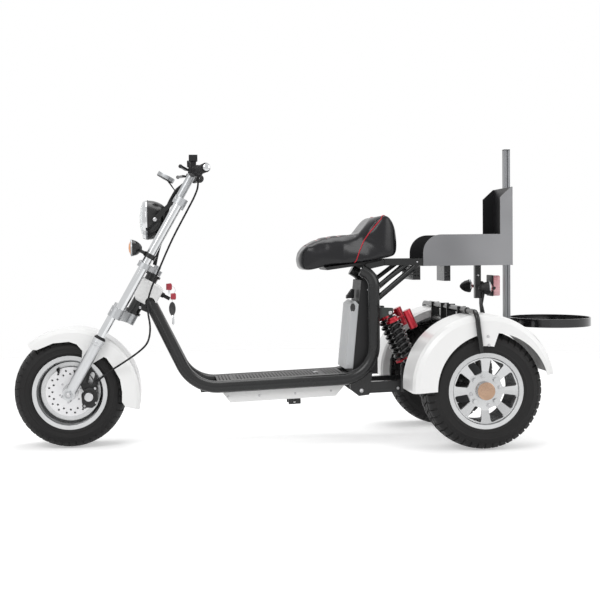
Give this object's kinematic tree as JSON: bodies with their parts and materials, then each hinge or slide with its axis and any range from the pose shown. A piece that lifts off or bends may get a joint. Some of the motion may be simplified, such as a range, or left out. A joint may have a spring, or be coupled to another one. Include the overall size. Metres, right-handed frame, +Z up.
{
  "type": "electric golf trike",
  "caption": "Electric golf trike with raked fork, step-through deck, saddle, open bag tray, tall rear pole and bag ring.",
  "frame": {"origin": "on the ground under the middle of the whole length, on the trike's middle plane", "axes": "+X to the rear, +Y to the rider's right, +Z up"},
  "size_m": [2.2842, 0.9206, 1.142],
  "materials": {
    "black_paint": "satin black enamel",
    "grey_paint": "grey-green enamel",
    "white_paint": "gloss white enamel",
    "satin_black_sheet": "fine textured black powder coat",
    "silver_paint": "silver paint",
    "silver_alloy": "satin cast and machined alloy",
    "aluminium": "extruded, satin anodised",
    "rim_silver": "polished face",
    "red_anodised": "red anodised",
    "cast_metal": "bare cast housing",
    "black_cast": "black enamel on a casting",
    "black_spring": "gloss black spring wire",
    "disc_steel": "ground face",
    "chrome": "bright chrome plate",
    "black_bar": "satin black",
    "black_plastic": "moulded, lightly grained",
    "grey_plastic": "moulded light grey",
    "black_vinyl": "stitched vinyl with red piping",
    "black_rubber": "soft matte rubber",
    "tyre_rubber": "road tyre",
    "clear_lens": "clear lens",
    "lamp_red": "ribbed red and clear lamp"
  },
  "bodies": {
    "frame": {"main_frame": "black_paint", "neck_cover": "white_paint", "belly_pan": "white_paint", "deck_floor": "black_plastic", "pillar_box": "black_plastic", "pillar_panel": "grey_plastic", "battery": "black_plastic", "seat": "black_vinyl", "seat_base": "black_plastic", "rear_carrier": "black_paint", "motor": "cast_metal", "shocks": "black_cast", "shock_coils": "black_spring", "shock_collars": "red_anodised", "shock_reservoirs": "red_anodised", "shock_mounts": "grey_paint", "bag_rack": "black_paint", "bag_tray": "satin_black_sheet", "bag_back": "satin_black_sheet", "bag_pole": "aluminium", "bag_ring": "black_plastic", "rear_fenders": "white_paint", "fender_frame": "black_paint", "tail_bracket": "black_plastic", "tail_lamp": "lamp_red", "ignition_lock": "black_plastic", "stand_bracket": "black_paint"},
    "deck_hatch": {"deck_lid": "black_plastic"},
    "steering": {"lower_yoke": "silver_alloy", "upper_yokes": "silver_alloy", "bar_risers": "silver_alloy", "fork_sliders": "silver_paint", "fork_tubes": "chrome", "handlebar": "black_bar", "grips": "black_rubber", "bar_controls": "black_plastic", "brake_levers": "black_bar", "front_axle": "silver_alloy", "front_caliper": "black_cast", "front_fender": "white_paint", "headlamp_shell": "black_plastic", "headlamp_ring": "chrome", "headlamp_lens": "clear_lens", "headlamp_bracket": "black_paint", "front_signals": "black_plastic", "speedometer": "black_plastic", "looms": "black_rubber", "brake_hose": "black_rubber"},
    "front_wheel": {"front_tyre": "tyre_rubber", "front_rim": "rim_silver", "front_disc": "disc_steel"},
    "rear_wheel_left": {"rear_tyre_left": "tyre_rubber", "rear_rim_left": "rim_silver"},
    "rear_wheel_right": {"rear_tyre_right": "tyre_rubber", "rear_rim_right": "rim_silver"}
  },
  "joints": [
    {"name": "steering_turn", "type": "hinge", "parent": "frame", "child": "steering", "pos_m": [-0.68685, 0, 0.51553], "axis": [0.4939, 0, 0.8695], "range_deg": [-30, 30]},
    {"name": "front_wheel_spin", "type": "hinge", "parent": "steering", "child": "front_wheel", "pos_m": [-0.92715, 0, 0.215], "axis": [0, 1, 0], "continuous": true},
    {"name": "rear_left_spin", "type": "hinge", "parent": "frame", "child": "rear_wheel_left", "pos_m": [0.60485, -0.336, 0.222], "axis": [0, 1, 0], "continuous": true},
    {"name": "rear_right_spin", "type": "hinge", "parent": "frame", "child": "rear_wheel_right", "pos_m": [0.60485, 0.336, 0.222], "axis": [0, 1, 0], "continuous": true},
    {"name": "deck_lid_open", "type": "hinge", "parent": "frame", "child": "deck_hatch", "pos_m": [-0.29804, 0, 0.24889], "axis": [0, -1, 0], "range_deg": [0, 75]}
  ]
}
